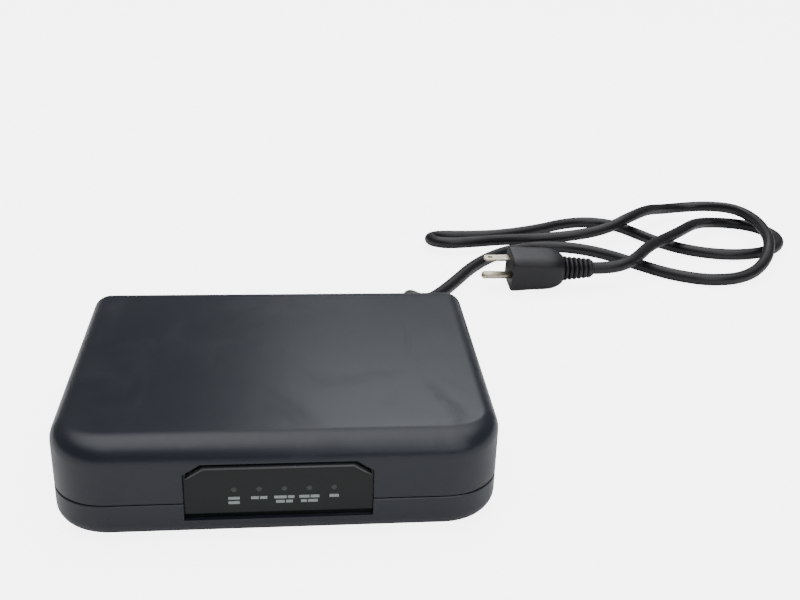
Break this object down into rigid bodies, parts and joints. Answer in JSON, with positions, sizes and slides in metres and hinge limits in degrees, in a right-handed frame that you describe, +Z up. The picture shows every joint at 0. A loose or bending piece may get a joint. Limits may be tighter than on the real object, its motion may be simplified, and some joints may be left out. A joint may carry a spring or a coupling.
{
  "type": "cable modem",
  "caption": "Black desktop cable modem: rounded two-part housing, smoked indicator window, rear sockets and a captive mains lead with a three-pin plug.",
  "frame": {"origin": "on the surface that the feet stand on, under the middle of the box that holds the housing and its coaxial socket, without the mains lead", "axes": "+Z up, the front with its window faces -Y, +X to the right of a person facing the front; the sockets and the lead leave the back, towards +Y"},
  "size_m": [0.4867, 0.4295, 0.046],
  "materials": {
    "housing": "satin, near-black with a faint blue cast, fine moulded grain",
    "window": "smoked, polished",
    "panel": "fine moulded grain",
    "foot_rubber": "matt",
    "screw_steel": "zinc plated",
    "tinned_steel": "bright tin plate",
    "nickel": "nickel plated",
    "contact_metal": "gold flash",
    "socket_plastic": "moulded",
    "white_plastic": "moulded",
    "board": "solder mask",
    "power_laminate": "paper laminate",
    "chip_epoxy": "moulded epoxy",
    "sink_aluminium": "extruded",
    "pad": "soft",
    "can": "printed sleeve",
    "ferrite": "fired ferrite",
    "copper": "enamelled wire",
    "tape": "polyester tape",
    "clear_guide": "clear",
    "led": "clear epoxy",
    "fuse_glass": "clear",
    "sheet": "fibre sheet",
    "wire": "insulated wire",
    "cord_jacket": "satin PVC",
    "plug_moulding": "moulded PVC",
    "blade_metal": "nickel-plated brass"
  },
  "bodies": {
    "housing": {"board_capacitors": "can", "board_screws": "screw_steel", "bottom_case": "housing", "bulk_capacitor": "can", "case_screws": "screw_steel", "chip_legs": "tinned_steel", "clock_crystal": "tinned_steel", "coax_contact": "contact_metal", "coax_insulator": "white_plastic", "coax_socket": "nickel", "cord_bushing": "cord_jacket", "cord_inner_end": "cord_jacket", "ethernet_contacts": "contact_metal", "ethernet_socket": "socket_plastic", "front_window": "window", "fuse_clips": "tinned_steel", "fuse_tube": "fuse_glass", "heat_sink": "sink_aluminium", "indicator_leds": "led", "insulating_sheet": "sheet", "light_guide": "clear_guide", "line_transformer": "chip_epoxy", "main_board": "board", "mains_choke_core": "ferrite", "mains_choke_windings": "copper", "mains_header": "white_plastic", "mains_wires": "wire", "memory_chips": "chip_epoxy", "modem_chip": "chip_epoxy", "output_capacitors": "can", "output_header": "white_plastic", "plug_blades": "blade_metal", "plug_body": "plug_moulding", "plug_ground_pin": "blade_metal", "plug_relief": "plug_moulding", "power_board": "power_laminate", "power_cord": "cord_jacket", "power_transistor": "chip_epoxy", "rear_panel": "panel", "rectifier_bridge": "chip_epoxy", "reset_switch": "socket_plastic", "rubber_feet": "foot_rubber", "supply_header": "white_plastic", "supply_wires": "wire", "thermal_pad": "pad", "top_cover": "housing", "transformer_bobbin": "socket_plastic", "transformer_core": "ferrite", "transformer_winding": "tape", "transistor_heat_sink": "sink_aluminium", "tuner_shield_base": "tinned_steel", "tuner_shield_lid": "tinned_steel", "usb_socket": "tinned_steel", "usb_tongue": "white_plastic"},
    "reset": {"reset_button": "panel"}
  },
  "joints": [
    {"name": "reset_press", "type": "slide", "parent": "housing", "child": "reset", "axis": [0, -1, 0], "range_m": [0, 0.0008], "stiffness_N_per_m": 800}
  ]
}
